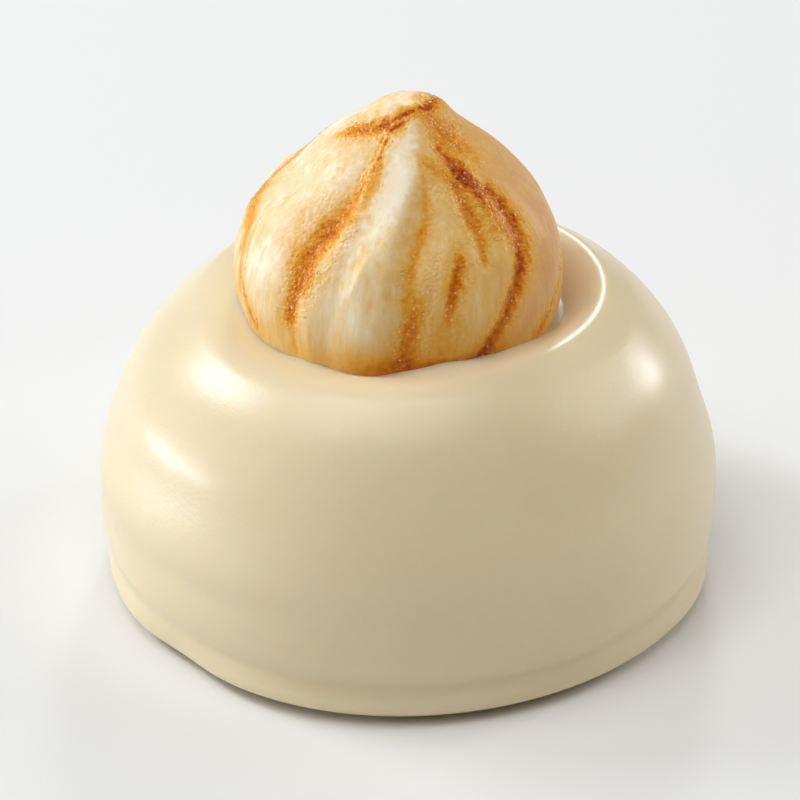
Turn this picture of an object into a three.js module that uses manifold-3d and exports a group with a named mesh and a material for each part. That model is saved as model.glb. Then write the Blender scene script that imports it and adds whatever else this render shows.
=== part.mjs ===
// Hazelnut praline: a domed, white-coated sweet with a roasted hazelnut kernel sunk in a crater on top.
// Millimetres and degrees, +Z up. The origin is the centre of the flat sole, and the shown side faces -Y.
import * as THREE from 'three';
import { mergeVertices } from 'three/addons/utils/BufferGeometryUtils.js';
import Module from 'manifold-3d';

// Driving sizes of the coated body
const coatingWidth = 28;
const bellyHeight = 4.6;          // height of the widest part
const domeRise = 12.6;            // half-height of the ellipse above the belly
const skirtDrop = 16.7;           // half-height of the steeper ellipse below the belly
const lipHeight = 1.0;            // height of the foot's lip
const footEdge = 2.0;             // how far the rounded foot edge reaches in to the flat sole
const shoulderHeight = 13.5;      // where the dome turns over into the rim
const rimRadius = 8.4;            // radius of the rim's crest
const rimHeight = 14.35;
const contactRadius = 7.0;        // where the coating meets the kernel
const contactHeight = 13.85;
const rimHandle = 1 / 3;          // share of the rim's rise by which its curve is pulled outwards
const craterHandle = 1 / 2;       // share of the crater's depth by which its curve is pulled level
const rimBand = 3;                // height below the shoulder over which swells of the rim die out

// The side where the dome runs smoothly up to the kernel without a rim: directions and rise at the kernel
const openAt = -150;
const openFull = 55;              // no rim this far to both sides
const openEnd = 105;              // a whole rim from here on
const openSlope = 0.2;            // rise per millimetre where that side meets the kernel

// Driving sizes of the hazelnut kernel
const kernelWidth = 14.5;         // between the ridges
const kernelCentre = new THREE.Vector3(-0.45, -0.3, 15.1);
const kernelLean = 3.4;           // lean of the tip to the right
const kernelNod = 0.4;            // lean of the tip to the back
const tipRise = 1.2;              // how far the tip stands out of the ball
const tipSpread = 15.6;
const cheekFlat = 0.36;           // flattening between the tip and the belly
const cheekAngle = 46;            // angle of the flattening, counted from the tip
const cheekSpread = 16;
const cheekUneven = 0.44;         // share by which the left cheek is flatter than the right
const baseFlat = 1.35;            // flattening of the hidden base
const baseSpread = 50;

// Clearance between the kernel and its pocket
const pocketGap = 0.3;

// Fineness of the meshes
const coatingTurns = 80;
const footSteps = 4;
const skirtSteps = 4;
const domeSteps = 14;
const rimSteps = 5;
const craterSteps = 6;
const kernelTurns = 80;
const kernelRings = 30;

const degrees = THREE.MathUtils.degToRad;
const bell = (distance, spread) => Math.exp(-((distance / spread) ** 2));
const blend = (value, low, high) => THREE.MathUtils.smoothstep(value, low, high);

// Shortest signed way round from one direction to another, in degrees
function turnBetween(angle, from) {
  return THREE.MathUtils.euclideanModulo(angle - from + 180, 360) - 180;
}

// Soft rolls of the poured coating: height, swell outwards, height of the roll,
// and the direction and share by which one side shows it more
const rolls = [
  { height: 12.3, swell: 0.12, tall: 1.4, strongAt: 0, share: 0.2 },
  { height: 9.2, swell: -0.08, tall: 1.3, strongAt: -20, share: 0.4 },
  { height: 6.6, swell: 0.03, tall: 1.3, strongAt: -90, share: 0.4 },
  { height: 4.9, swell: -0.04, tall: 0.8, strongAt: 180, share: 0.9 },
  { height: 2.1, swell: -0.20, tall: 0.55, strongAt: -40, share: 0.25 },
  { height: 1.0, swell: 0.09, tall: 0.6, strongAt: 0, share: 0.1 },
];

// Lower rolls that only the left of the body has: height, swell, height of the roll, direction and width
const leftRolls = [
  { height: 13.0, swell: 0.05, tall: 0.8, at: -142, wide: 32 },
  { height: 11.3, swell: -0.07, tall: 0.8, at: -142, wide: 32 },
  { height: 9.7, swell: 0.05, tall: 0.8, at: -145, wide: 30 },
  { height: 8.2, swell: -0.05, tall: 0.7, at: -148, wide: 30 },
  { height: 6.8, swell: 0.08, tall: 0.8, at: -150, wide: 30 },
  { height: 5.2, swell: -0.03, tall: 0.8, at: -150, wide: 30 },
];

// Slow waves of the roll heights round the body: count, size and the direction of the first crest.
// They grow from the foot up, between two heights.
const rollWaves = [
  { count: 1, size: 0.3, at: 90 },
  { count: 2, size: 0.9, at: -90 },
];
const waveStart = 2;
const waveFull = 8;

// Local swells round the foot, the rim and the line where the kernel is met: direction, size and width
const footSwells = [
  { at: -20, size: 0.10, wide: 10 },
  { at: -55, size: -0.10, wide: 22 },
  { at: -108, size: 0.18, wide: 22 },
  { at: -138, size: -0.26, wide: 9 },
  { at: -153, size: 0.06, wide: 10 },
  { at: 80, size: -0.12, wide: 30 },
  { at: 135, size: 0.08, wide: 25 },
];
const rimSwells = [
  { at: -78, size: 0.14, wide: 22 },
  { at: -138, size: -0.20, wide: 20 },
  { at: 20, size: 0.10, wide: 35 },
  { at: 95, size: -0.12, wide: 35 },
  { at: 150, size: 0.06, wide: 25 },
  { at: 180, size: -0.35, wide: 25 },
];
const contactSwells = [
  { at: -52, size: 0.18, wide: 14 },
  { at: -78, size: 0.26, wide: 10 },
  { at: -106, size: -0.24, wide: 14 },
  { at: -126, size: 0.18, wide: 9 },
  { at: -146, size: -0.46, wide: 8 },
  { at: 178, size: 0.80, wide: 22 },
  { at: 8, size: -0.50, wide: 28 },
  { at: 110, size: -0.35, wide: 60 },
];

// Leans of the coated body: its middle sits a little left and its top a little right
const middleShift = -0.07;
const topShift = 0.17;

// Ridges that run from the kernel's tip to its base: direction round the tip, height and width
const ridges = [
  { at: -90, high: 0.20, wide: 10 },
  { at: -119, high: 0.16, wide: 8 },
  { at: -152, high: 0.16, wide: 12 },
  { at: -63, high: 0.14, wide: 9 },
  { at: -40, high: 0.12, wide: 7 },
  { at: -14, high: 0.16, wide: 11 },
  { at: 18, high: 0.14, wide: 11 },
  { at: 50, high: 0.18, wide: 12 },
  { at: 84, high: 0.15, wide: 10 },
  { at: 117, high: 0.19, wide: 12 },
  { at: 150, high: 0.15, wide: 11 },
  { at: 178, high: 0.14, wide: 9 },
];
const ridgeStart = 24;            // the ridges rise within this angle from the tip
const ridgeEnd = 36;              // and die out within this angle from the base

const wave = (waves, angle) => waves.reduce(
  (sum, one) => sum + one.size * Math.cos(degrees(one.count * (angle - one.at))), 0);
const swellAt = (swells, angle) => swells.reduce(
  (sum, one) => sum + one.size * bell(turnBetween(angle, one.at), one.wide), 0);

const halfWidth = coatingWidth / 2;
const skirtRadius = (z) => halfWidth * Math.sqrt(1 - ((bellyHeight - z) / skirtDrop) ** 2);
const domeRadius = (z) => halfWidth * Math.sqrt(1 - ((z - bellyHeight) / domeRise) ** 2);
const shoulderRadius = domeRadius(shoulderHeight);
const shoulderSlope = (domeRise / halfWidth) ** 2 * shoulderRadius / (shoulderHeight - bellyHeight);

// Half outline of the coated body, from the sole's centre round to the crater's floor
function coatingOutline() {
  const lipRadius = skirtRadius(lipHeight);
  const outline = [new THREE.Vector2(0, 0)];
  for (let i = 0; i <= footSteps; i += 1) {
    const turn = (i / footSteps) * Math.PI / 2;
    outline.push(new THREE.Vector2(
      lipRadius - footEdge * (1 - Math.sin(turn)),
      lipHeight * (1 - Math.cos(turn))));
  }
  for (let i = 1; i <= skirtSteps; i += 1) {
    const z = THREE.MathUtils.lerp(lipHeight, bellyHeight, i / skirtSteps);
    outline.push(new THREE.Vector2(skirtRadius(z), z));
  }
  for (let i = 1; i <= domeSteps; i += 1) {
    const z = THREE.MathUtils.lerp(bellyHeight, shoulderHeight, i / domeSteps);
    outline.push(new THREE.Vector2(domeRadius(z), z));
  }
  const shoulder = new THREE.Vector2(shoulderRadius, shoulderHeight);
  const crest = new THREE.Vector2(rimRadius, rimHeight);
  const contact = new THREE.Vector2(contactRadius, contactHeight);
  const drop = rimHeight - contactHeight;
  const rim = new THREE.QuadraticBezierCurve(
    shoulder,
    new THREE.Vector2(crest.x + (rimHeight - shoulderHeight) * rimHandle, rimHeight),
    crest);
  const crater = new THREE.CubicBezierCurve(
    crest,
    new THREE.Vector2(crest.x - drop * craterHandle, rimHeight),
    new THREE.Vector2(contact.x + drop * craterHandle, contactHeight),
    contact);
  outline.push(...rim.getPoints(rimSteps).slice(1), ...crater.getPoints(craterSteps).slice(1));
  outline.push(new THREE.Vector2(0, contactHeight));
  return outline;
}

// Height of a top without a rim: one smooth curve from the dome's shoulder to the kernel
function openTop(radius, contactSwell) {
  const run = shoulderRadius - contactRadius;
  const along = THREE.MathUtils.clamp((shoulderRadius - radius) / run, 0, 1);
  const left = 1 - along;
  return (1 + 2 * along) * left ** 2 * shoulderHeight
    + along * left ** 2 * shoulderSlope * run
    + along ** 2 * (1 + 2 * left) * (contactHeight + contactSwell)
    - along ** 2 * left * openSlope * run;
}

// Height of a point above the shoulder, with the rim there or not
function topHeight(point, radius, angle) {
  const contactSwell = swellAt(contactSwells, angle);
  const inCrater = 1 - blend(radius, contactRadius, rimRadius);
  const rimmed = point.z + inCrater * contactSwell;
  const open = 1 - blend(Math.abs(turnBetween(angle, openAt)), openFull, openEnd);
  return THREE.MathUtils.lerp(rimmed, openTop(radius, contactSwell), open);
}

// Moves one point of the turned coated body to its uneven, poured place
function pourPoint(point) {
  const angle = THREE.MathUtils.radToDeg(Math.atan2(point.y, point.x));
  const radius = Math.hypot(point.x, point.y);
  if (radius === 0) return;
  const rollHeight = point.z - wave(rollWaves, angle) * blend(point.z, waveStart, waveFull);
  let swell = swellAt(footSwells, angle) * (1 - blend(point.z, lipHeight, 2 * lipHeight));
  for (const roll of rolls) {
    const side = 1 + roll.share * Math.cos(degrees(angle - roll.strongAt));
    swell += roll.swell * side * bell(rollHeight - roll.height, roll.tall);
  }
  for (const roll of leftRolls) {
    swell += roll.swell * bell(point.z - roll.height, roll.tall) * bell(turnBetween(angle, roll.at), roll.wide);
  }
  swell *= blend(radius, contactRadius, rimRadius);
  const share = point.z / rimHeight;
  const nearRim = blend(point.z, shoulderHeight - rimBand, shoulderHeight);
  const height = point.z > shoulderHeight ? topHeight(point, radius, angle) : point.z;
  point.x += swell * point.x / radius + middleShift * Math.sin(Math.PI * share) + topShift * share ** 2;
  point.y += swell * point.y / radius;
  point.z = height + nearRim * swellAt(rimSwells, angle);
}

// Distance of the kernel's skin from its centre, for an angle from the tip and a direction round it
function kernelReach(fromTip, angle) {
  const side = 1 - cheekUneven * Math.cos(degrees(angle));
  let reach = kernelWidth / 2;
  reach += tipRise * bell(fromTip, tipSpread);
  reach -= cheekFlat * side * bell(fromTip - cheekAngle, cheekSpread);
  reach -= baseFlat * bell(180 - fromTip, baseSpread);
  const along = blend(fromTip, 0, ridgeStart) * blend(180 - fromTip, 0, ridgeEnd);
  for (const ridge of ridges) {
    reach += ridge.high * along * bell(turnBetween(angle, ridge.at), ridge.wide);
  }
  return reach;
}

function moveVertices(geometry, move) {
  const place = geometry.getAttribute('position');
  const point = new THREE.Vector3();
  for (let i = 0; i < place.count; i += 1) {
    point.fromBufferAttribute(place, i);
    move(point);
    place.setXYZ(i, point.x, point.y, point.z);
  }
}

function onlyPositions(geometry) {
  geometry.deleteAttribute('normal');
  geometry.deleteAttribute('uv');
  return mergeVertices(geometry);
}

// The kernel's skin, or with growth the wall of the pocket that holds it
function kernelSkin(growth) {
  const skin = onlyPositions(new THREE.SphereGeometry(1, kernelTurns, kernelRings).rotateX(Math.PI / 2));
  moveVertices(skin, (point) => {
    const fromTip = THREE.MathUtils.radToDeg(Math.acos(THREE.MathUtils.clamp(point.z, -1, 1)));
    const angle = THREE.MathUtils.radToDeg(Math.atan2(point.y, point.x));
    point.setLength(kernelReach(fromTip, angle) + growth);
  });
  skin.rotateX(degrees(-kernelNod)).rotateY(degrees(kernelLean));
  return skin.translate(kernelCentre.x, kernelCentre.y, kernelCentre.z);
}

function coatingSkin() {
  const turned = new THREE.LatheGeometry(coatingOutline(), coatingTurns).rotateX(Math.PI / 2);
  const skin = onlyPositions(turned);
  moveVertices(skin, pourPoint);
  return skin;
}

const wasm = await Module();
wasm.setup();

function toSolid(geometry) {
  return new wasm.Manifold(new wasm.Mesh({
    numProp: 3,
    vertProperties: Float32Array.from(geometry.getAttribute('position').array),
    triVerts: Uint32Array.from(geometry.index.array),
  }));
}

function toGeometry(solid) {
  const mesh = solid.getMesh();
  const geometry = new THREE.BufferGeometry();
  geometry.setAttribute('position', new THREE.BufferAttribute(mesh.vertProperties, 3));
  geometry.setIndex(new THREE.BufferAttribute(mesh.triVerts, 1));
  geometry.computeVertexNormals();
  return geometry;
}

function makeCoating() {
  const body = toSolid(coatingSkin()).subtract(toSolid(kernelSkin(pocketGap)));
  const whiteCoating = new THREE.MeshStandardMaterial({ color: 0xdccda9, roughness: 0.35, metalness: 0 });
  const mesh = new THREE.Mesh(toGeometry(body), whiteCoating);
  mesh.name = 'coating';
  return mesh;
}

function makeKernel() {
  const skin = kernelSkin(0);
  skin.computeVertexNormals();
  const roastedNut = new THREE.MeshStandardMaterial({ color: 0xe2bd86, roughness: 0.5, metalness: 0 });
  const mesh = new THREE.Mesh(skin, roastedNut);
  mesh.name = 'hazelnut';
  return mesh;
}

const group = new THREE.Group();
group.add(makeCoating(), makeKernel());

export default group;
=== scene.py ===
"""Looks of the hazelnut praline: a poured white coating, and a roasted kernel held in its crater.

Shapes are worked out in millimetres by the same rules as the solids, and finer. Directions are in degrees
round the upright axis: 0 is to the right of the photo, -90 is towards the camera.
"""
import math
import random

import bpy
import numpy as np
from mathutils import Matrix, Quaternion, Vector, noise


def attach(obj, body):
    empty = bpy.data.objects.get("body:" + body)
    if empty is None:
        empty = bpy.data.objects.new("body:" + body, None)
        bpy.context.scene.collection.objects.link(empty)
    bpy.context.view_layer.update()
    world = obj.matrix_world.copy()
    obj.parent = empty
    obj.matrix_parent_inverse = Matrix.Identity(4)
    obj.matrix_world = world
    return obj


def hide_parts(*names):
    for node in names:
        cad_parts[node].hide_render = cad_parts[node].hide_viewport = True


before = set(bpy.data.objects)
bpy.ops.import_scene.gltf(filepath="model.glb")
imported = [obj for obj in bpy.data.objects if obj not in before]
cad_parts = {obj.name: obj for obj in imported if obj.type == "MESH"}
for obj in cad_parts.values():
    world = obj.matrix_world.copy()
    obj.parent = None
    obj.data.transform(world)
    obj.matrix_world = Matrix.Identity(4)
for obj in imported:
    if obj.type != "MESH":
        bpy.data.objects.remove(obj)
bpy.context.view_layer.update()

MM = 0.001
SEED = 11

# Driving sizes of the coated body, in millimetres
COATING_WIDTH = 28.0
BELLY_HEIGHT = 4.6
DOME_RISE = 12.6
SKIRT_DROP = 16.7
LIP_HEIGHT = 1.0
FOOT_EDGE = 2.0
SHOULDER_HEIGHT = 13.5
RIM_RADIUS = 8.4
RIM_HEIGHT = 14.35
CONTACT_RADIUS = 7.0
CONTACT_HEIGHT = 13.85
RIM_HANDLE = 1 / 3
RIM_BAND = 3.0
CREST_HANDLE = 0.9
CREST_ROUND = 0.6
MIDDLE_SHIFT = -0.07
TOP_SHIFT = 0.17

# The side where the dome runs smoothly up to the kernel without a rim: directions, and rise at the kernel
OPEN_AT = -150.0
OPEN_FULL = 55.0
OPEN_END = 105.0
OPEN_SLOPE = 0.2

# Driving sizes of the hazelnut kernel, in millimetres and degrees
KERNEL_WIDTH = 14.5
KERNEL_CENTRE = np.array([-0.45, -0.3, 15.1])
KERNEL_LEAN = 3.4
KERNEL_NOD = 0.4
TIP_RISE = 1.2
TIP_SPREAD = 15.6
CHEEK_FLAT = 0.36
CHEEK_ANGLE = 46.0
CHEEK_SPREAD = 16.0
CHEEK_UNEVEN = 0.44
BASE_FLAT = 1.35
BASE_SPREAD = 50.0

# Soft rolls of the poured coating: height, swell, height of the roll, strongest direction, and by what share
ROLLS = [
    (12.3, 0.12, 1.4, 0, 0.2),
    (9.2, -0.08, 1.3, -20, 0.4),
    (6.6, 0.03, 1.3, -90, 0.4),
    (4.9, -0.04, 0.8, 180, 0.9),
    (2.1, -0.20, 0.55, -40, 0.25),
    (1.0, 0.09, 0.6, 0, 0.1),
]
# Lower rolls that only the left of the body has: height, swell, height of the roll, direction, width
LEFT_ROLLS = [(13.0, 0.05, 0.8, -142, 32), (11.3, -0.07, 0.8, -142, 32), (9.7, 0.05, 0.8, -145, 30),
              (8.2, -0.03, 0.9, -148, 30), (6.3, 0.04, 0.9, -150, 30), (5.0, -0.03, 0.8, -150, 30)]
# Slow waves of the roll heights: count round the body, size, direction of the first crest
ROLL_WAVES = [(1, 0.3, 90), (2, 0.9, -90)]
WAVE_START = 2.0
WAVE_FULL = 8.0
# Local swells: direction, size, width
FOOT_SWELLS = [(-20, 0.10, 10), (-55, -0.10, 22), (-108, 0.18, 22), (-138, -0.26, 9), (-153, 0.06, 10),
               (80, -0.12, 30), (135, 0.08, 25)]
RIM_SWELLS = [(-78, 0.14, 22), (-138, -0.20, 20), (20, 0.10, 35), (95, -0.12, 35), (150, 0.06, 25),
              (180, -0.35, 25)]
CONTACT_SWELLS = [(-52, 0.18, 14), (-82, 0.12, 20), (178, 0.80, 22), (8, -0.50, 28), (110, -0.35, 60)]
# Narrow swells of the contact line, which reach only a little way out from the kernel: direction, size, width
EDGE_SWELLS = [(-78, 0.16, 10), (-106, -0.28, 13), (-126, 0.12, 9), (-146, -0.12, 12)]
EDGE_INNER = 7.3
EDGE_OUTER = 8.0
# The sharp ridge down the middle of the kernel, as (angle from the tip, direction)
MIDDLE_RIDGE = [(6, -76), (14, -79), (24, -83), (36, -90), (55, -96), (95, -98)]

# Folds of the kernel, along lines of (angle from the tip, direction). Height at the line's start, middle and
# end, and how wide the fold is on its left and on its right, all in millimetres.
FOLDS = [
    # middle ridge, with a crisp right side near the tip
    {"line": MIDDLE_RIDGE, "high": (0.26, 0.50, 0.14), "left": 1.5, "right": 0.55},
    # groove right of it, with a steep right wall
    {"line": [(24, -78), (36, -78), (48, -79), (58, -83), (68, -87), (92, -89)],
     "high": (-0.10, -0.20, -0.06), "left": 0.85, "right": 0.26},
    # flat panel right of the groove
    {"line": [(28, -68), (45, -69), (60, -74), (75, -78), (95, -80)],
     "high": (0.06, 0.16, 0.05), "left": 0.5, "right": 0.7},
    # short ridge right of the low dark mark
    {"line": [(55, -62), (68, -64), (82, -67), (96, -70)],
     "high": (0.05, 0.13, 0.06), "left": 0.45, "right": 0.8},
    # groove and pale fibrous ridge left of the main dark streak
    {"line": [(30, -57), (42, -56), (55, -55), (64, -57)],
     "high": (-0.05, -0.12, -0.02), "left": 0.4, "right": 0.3},
    {"line": [(26, -47), (36, -46), (48, -46), (60, -47), (76, -54), (94, -66)],
     "high": (0.10, 0.20, 0.06), "left": 0.45, "right": 0.4},
    # groove under the main dark streak
    {"line": [(38, -37), (50, -34.5), (62, -36), (74, -43.5), (84, -51), (96, -59)],
     "high": (-0.12, -0.18, -0.10), "left": 0.5, "right": 0.4},
    # right cheek
    {"line": [(30, -26), (55, -22), (80, -24), (96, -26)],
     "high": (0.08, 0.18, 0.08), "left": 1.0, "right": 1.8},
    # narrow ridges and furrows left of the middle ridge
    {"line": [(54, -103), (61, -104.5), (69, -107), (77, -109.5)],
     "high": (0.0, 0.12, 0.01), "left": 0.2, "right": 0.45},
    {"line": [(50, -109), (65, -112), (80, -114), (96, -115)],
     "high": (-0.02, -0.07, -0.05), "left": 0.45, "right": 0.35},
    {"line": [(14, -115), (30, -115), (45, -115.5), (58, -117), (72, -120)],
     "high": (0.07, 0.17, 0.02), "left": 0.3, "right": 0.6},
    {"line": [(78, -124), (88, -123), (98, -122)],
     "high": (0.02, 0.07, 0.04), "left": 0.35, "right": 0.35},
    {"line": [(76, -104), (88, -105), (98, -106)],
     "high": (0.01, 0.06, 0.04), "left": 0.4, "right": 0.4},
    # groove under the long streak left of the middle
    {"line": [(14, -120), (32, -121), (48, -124), (64, -128), (80, -130), (96, -129)],
     "high": (-0.05, -0.20, -0.06), "left": 0.65, "right": 0.5},
    # left cheek
    {"line": [(24, -150), (50, -148), (75, -147), (96, -146)],
     "high": (0.06, 0.14, 0.05), "left": 1.4, "right": 1.1},
    # left edge
    {"line": [(40, -176), (62, -172), (80, -168), (96, -164)],
     "high": (-0.04, -0.10, -0.04), "left": 0.6, "right": 0.5},
    {"line": [(40, 172), (62, 176), (80, 179), (96, -177)],
     "high": (0.06, 0.14, 0.06), "left": 0.8, "right": 0.7},
    # crown of the tip, higher behind the seam and to the right
    {"line": [(3, 20), (9, 6), (18, 4)],
     "high": (0.05, 0.20, 0.02), "left": 0.7, "right": 0.9},
    {"line": [(12, -172), (20, 178), (34, 170)],
     "high": (0.06, 0.14, 0.02), "left": 0.7, "right": 0.8},
]

# Ridges of the side that the photo doesn't show: how many, the first one's direction, the step to the next
# and how far one may stray from it, the angles from the tip that its line runs through, how far it drifts and
# bends, and the limits of its heights and widths
FAR_RIDGES = 7
FAR_RIDGE_FIRST = 24
FAR_RIDGE_STEP = 22
FAR_RIDGE_STRAY = 3
FAR_RIDGE_TIPS = (14, 55, 98)
FAR_RIDGE_DRIFT = 5
FAR_RIDGE_BEND = 1.5
FAR_RIDGE_HIGH = [(0.02, 0.08), (0.12, 0.22), (0.04, 0.09)]
FAR_RIDGE_WIDE = (0.5, 1.1)

# Folds come on between these angles from the tip, and between these from the base
TIP_FADE = (2, 8)
BASE_FADE = (30, 80)
# Past the ends of its line a fold fades over these angles, towards the tip and towards the base. A power under
# 2 gives it a sharper crest.
FOLD_FADE_UP = 7
FOLD_FADE_DOWN = 14
FOLD_POWER = 1.7

# Fine relief of the kernel's skin. Fibres and strands are this much narrower across than along.
FIBRE_STRETCH = 0.14
# Sizes of the lumps, their heights on smooth skin, and what grainy skin adds, in millimetres
SOFT_LUMP = 2.2
SOFT_HEIGHT = 0.03
FIBRE_LUMP = 0.13
FIBRE_HEIGHT = 0.006
FIBRE_GRAIN = 0.014
STRAND_LUMP = 0.30
STRAND_HEIGHT = 0.010
STRAND_GRAIN = 0.016
# Depth of the furrow under a full roast mark
FURROW_DEPTH = 0.03

# Where the coating wets the kernel
MENISCUS_HEIGHT = 0.08
MENISCUS_REACH = 0.12
POCKET_INSET = 0.03

# The crater's curve goes on under the kernel's skin, to this multiple of the way from its crest to the contact
# line. The line is searched from this far inside its usual radius, by halving.
CRATER_END = 1.2
CONTACT_SEARCH = 2.0
HALVINGS = 30

# Steps that the meshes are drawn in: columns round the axis, and points of each stretch of the outline
COATING_COLUMNS = 360
SOLE_SHARES = (0.35, 0.7, 0.9)
FOOT_STEPS = 14
SKIRT_STEPS = 22
DOME_STEPS = 56
RIM_STEPS = 14
CRATER_STEPS = 26
POCKET_STEPS = 20
KERNEL_COLUMNS = 450
# Rows of the kernel, fine where it shows and coarse on its hidden base: first and last angle from the tip, and
# how many
SHOWN_ROWS = (0.7, 112, 184)
HIDDEN_ROWS = (118, 174, 10)

# Colours of the lamps: daylight on the left, slightly warm from above and the right
NEUTRAL = (1.0, 1.0, 1.0)
COOL = (0.92, 0.96, 1.0)
WARM = (1.0, 0.98, 0.93)
# Softboxes: name, direction, height above level, distance, width, height, watts, slant and colour
SOFTBOXES = [
    ("key_softbox_left", 157, 33, 360, 165, 28, 0.48, 39, COOL),
    ("low_softbox_left", 173, 3, 360, 230, 30, 0.52, 16, COOL),
    ("high_fill_left", -160, 60, 450, 300, 300, 0.38, 0, COOL),
    ("small_softbox_right", 33, 13, 330, 36, 44, 0.17, 0, COOL),
    ("strip_right", 28, 6, 360, 30, 120, 0.03, 0, NEUTRAL),
    ("broad_fill_right", 10, 30, 520, 300, 300, 0.64, 0, WARM),
    ("strip_behind", 84, 31, 330, 50, 70, 0.20, 0, COOL),
    ("overhead_softbox", -112, 72, 420, 360, 360, 0.99, 0, WARM),
]
# Height of the point that they look at, strength of the light from all round, and half the floor's width
LIGHT_AIM_HEIGHT = 10.0
AIR_STRENGTH = 0.03
FLOOR_HALF = 600.0

# Camera at the photo's angle: height above level in degrees, distance, height and side of the aimed point, and
# the scale of the picture
CAMERA_ELEVATION = 29.784
CAMERA_DISTANCE = 160.0
CAMERA_AIM_HEIGHT = 8.388
CAMERA_SIDE = -0.4
PIXELS_PER_MM = 22.171
PICTURE_WIDTH = 800
SENSOR_WIDTH = 36.0


def bell(distance, spread):
    return np.exp(-(distance / spread) ** 2)


def blend(value, low, high):
    share = np.clip((value - low) / (high - low), 0.0, 1.0)
    return share * share * (3 - 2 * share)


def turn_between(angle, start):
    return (angle - start + 180.0) % 360.0 - 180.0


def wave(waves, angle):
    return sum(size * np.cos(np.radians(count * (angle - at))) for count, size, at in waves)


def swell_at(swells, angle):
    return sum(size * bell(turn_between(angle, at), wide) for at, size, wide in swells)


def speckle(points, size):
    """Smooth noise from -1 to 1 at points in millimetres, with lumps of that size."""
    return np.array([noise.noise(Vector(point)) for point in points / size])


def unwrapped(line):
    """The same line with directions that don't jump at the turn from 180 to -180."""
    steady = [line[0]]
    for tip, direction in line[1:]:
        steady.append((tip, steady[-1][1] + turn_between(direction, steady[-1][1])))
    return steady


def ring_angles(columns):
    """Directions of evenly spaced columns round the upright axis."""
    return np.arange(columns) * 360 / columns


def far_side_folds():
    """Ridges of the side that the photo doesn't show, by a seeded rule."""
    pick = random.Random(SEED)
    start, middle, end = FAR_RIDGE_TIPS
    folds = []
    for i in range(FAR_RIDGES):
        direction = FAR_RIDGE_FIRST + i * FAR_RIDGE_STEP + pick.uniform(-FAR_RIDGE_STRAY, FAR_RIDGE_STRAY)
        drift = pick.uniform(-FAR_RIDGE_DRIFT, FAR_RIDGE_DRIFT)
        folds.append({
            "line": [(start, direction), (middle, direction + drift),
                     (end, direction + drift * FAR_RIDGE_BEND)],
            "high": tuple(pick.uniform(*limits) for limits in FAR_RIDGE_HIGH),
            "left": pick.uniform(*FAR_RIDGE_WIDE),
            "right": pick.uniform(*FAR_RIDGE_WIDE),
        })
    return folds


ALL_FOLDS = [dict(fold, line=unwrapped(fold["line"])) for fold in FOLDS + far_side_folds()]


# Shape of the kernel

def kernel_reach(from_tip, angle):
    """Distance of the kernel's skin from its centre, without its fine relief."""
    side = 1 - CHEEK_UNEVEN * np.cos(np.radians(angle))
    reach = KERNEL_WIDTH / 2 + TIP_RISE * bell(from_tip, TIP_SPREAD)
    reach = reach - CHEEK_FLAT * side * bell(from_tip - CHEEK_ANGLE, CHEEK_SPREAD)
    reach = reach - BASE_FLAT * bell(180 - from_tip, BASE_SPREAD)
    # every fold dies out towards the tip and the base
    along = blend(from_tip, *TIP_FADE) * blend(180 - from_tip, *BASE_FADE)
    ring = KERNEL_WIDTH / 2 * np.sin(np.radians(from_tip))
    for fold in ALL_FOLDS:
        tips, directions = zip(*fold["line"])
        centre = np.interp(from_tip, tips, directions)
        stops = (tips[0], (tips[0] + tips[-1]) / 2, tips[-1])
        past = (np.maximum(tips[0] - from_tip, 0) / FOLD_FADE_UP
                + np.maximum(from_tip - tips[-1], 0) / FOLD_FADE_DOWN)
        across = np.radians(turn_between(angle, centre)) * ring
        side = np.where(across < 0, across / fold["left"], across / fold["right"])
        high = np.interp(from_tip, stops, fold["high"]) * bell(past, 1)
        reach = reach + along * high * np.exp(-np.abs(side) ** FOLD_POWER)
    return reach


def tip_direction(from_tip, angle):
    """Unit directions from the kernel's centre, in the kernel's own frame with its tip along +Z."""
    p, a = np.radians(from_tip), np.radians(angle)
    return np.stack([np.sin(p) * np.cos(a), np.sin(p) * np.sin(a), np.cos(p)], axis=-1)


def turn_matrix():
    """Turns the kernel's own frame by its nod and its lean."""
    nod, lean = math.radians(-KERNEL_NOD), math.radians(KERNEL_LEAN)
    about_x = np.array([[1, 0, 0], [0, math.cos(nod), -math.sin(nod)], [0, math.sin(nod), math.cos(nod)]])
    about_y = np.array([[math.cos(lean), 0, math.sin(lean)], [0, 1, 0], [-math.sin(lean), 0, math.cos(lean)]])
    return about_y @ about_x


KERNEL_TURN = turn_matrix()


def skin_towards(directions):
    """Points on the kernel's skin along unit directions given in the praline's frame."""
    own = directions @ KERNEL_TURN
    from_tip = np.degrees(np.arccos(np.clip(own[..., 2], -1, 1)))
    angle = np.degrees(np.arctan2(own[..., 1], own[..., 0]))
    return KERNEL_CENTRE + kernel_reach(from_tip, angle)[..., None] * directions


# Shape of the coated body

def skirt_radius(height):
    return COATING_WIDTH / 2 * np.sqrt(1 - ((BELLY_HEIGHT - height) / SKIRT_DROP) ** 2)


def dome_radius(height):
    return COATING_WIDTH / 2 * np.sqrt(1 - ((height - BELLY_HEIGHT) / DOME_RISE) ** 2)


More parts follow.
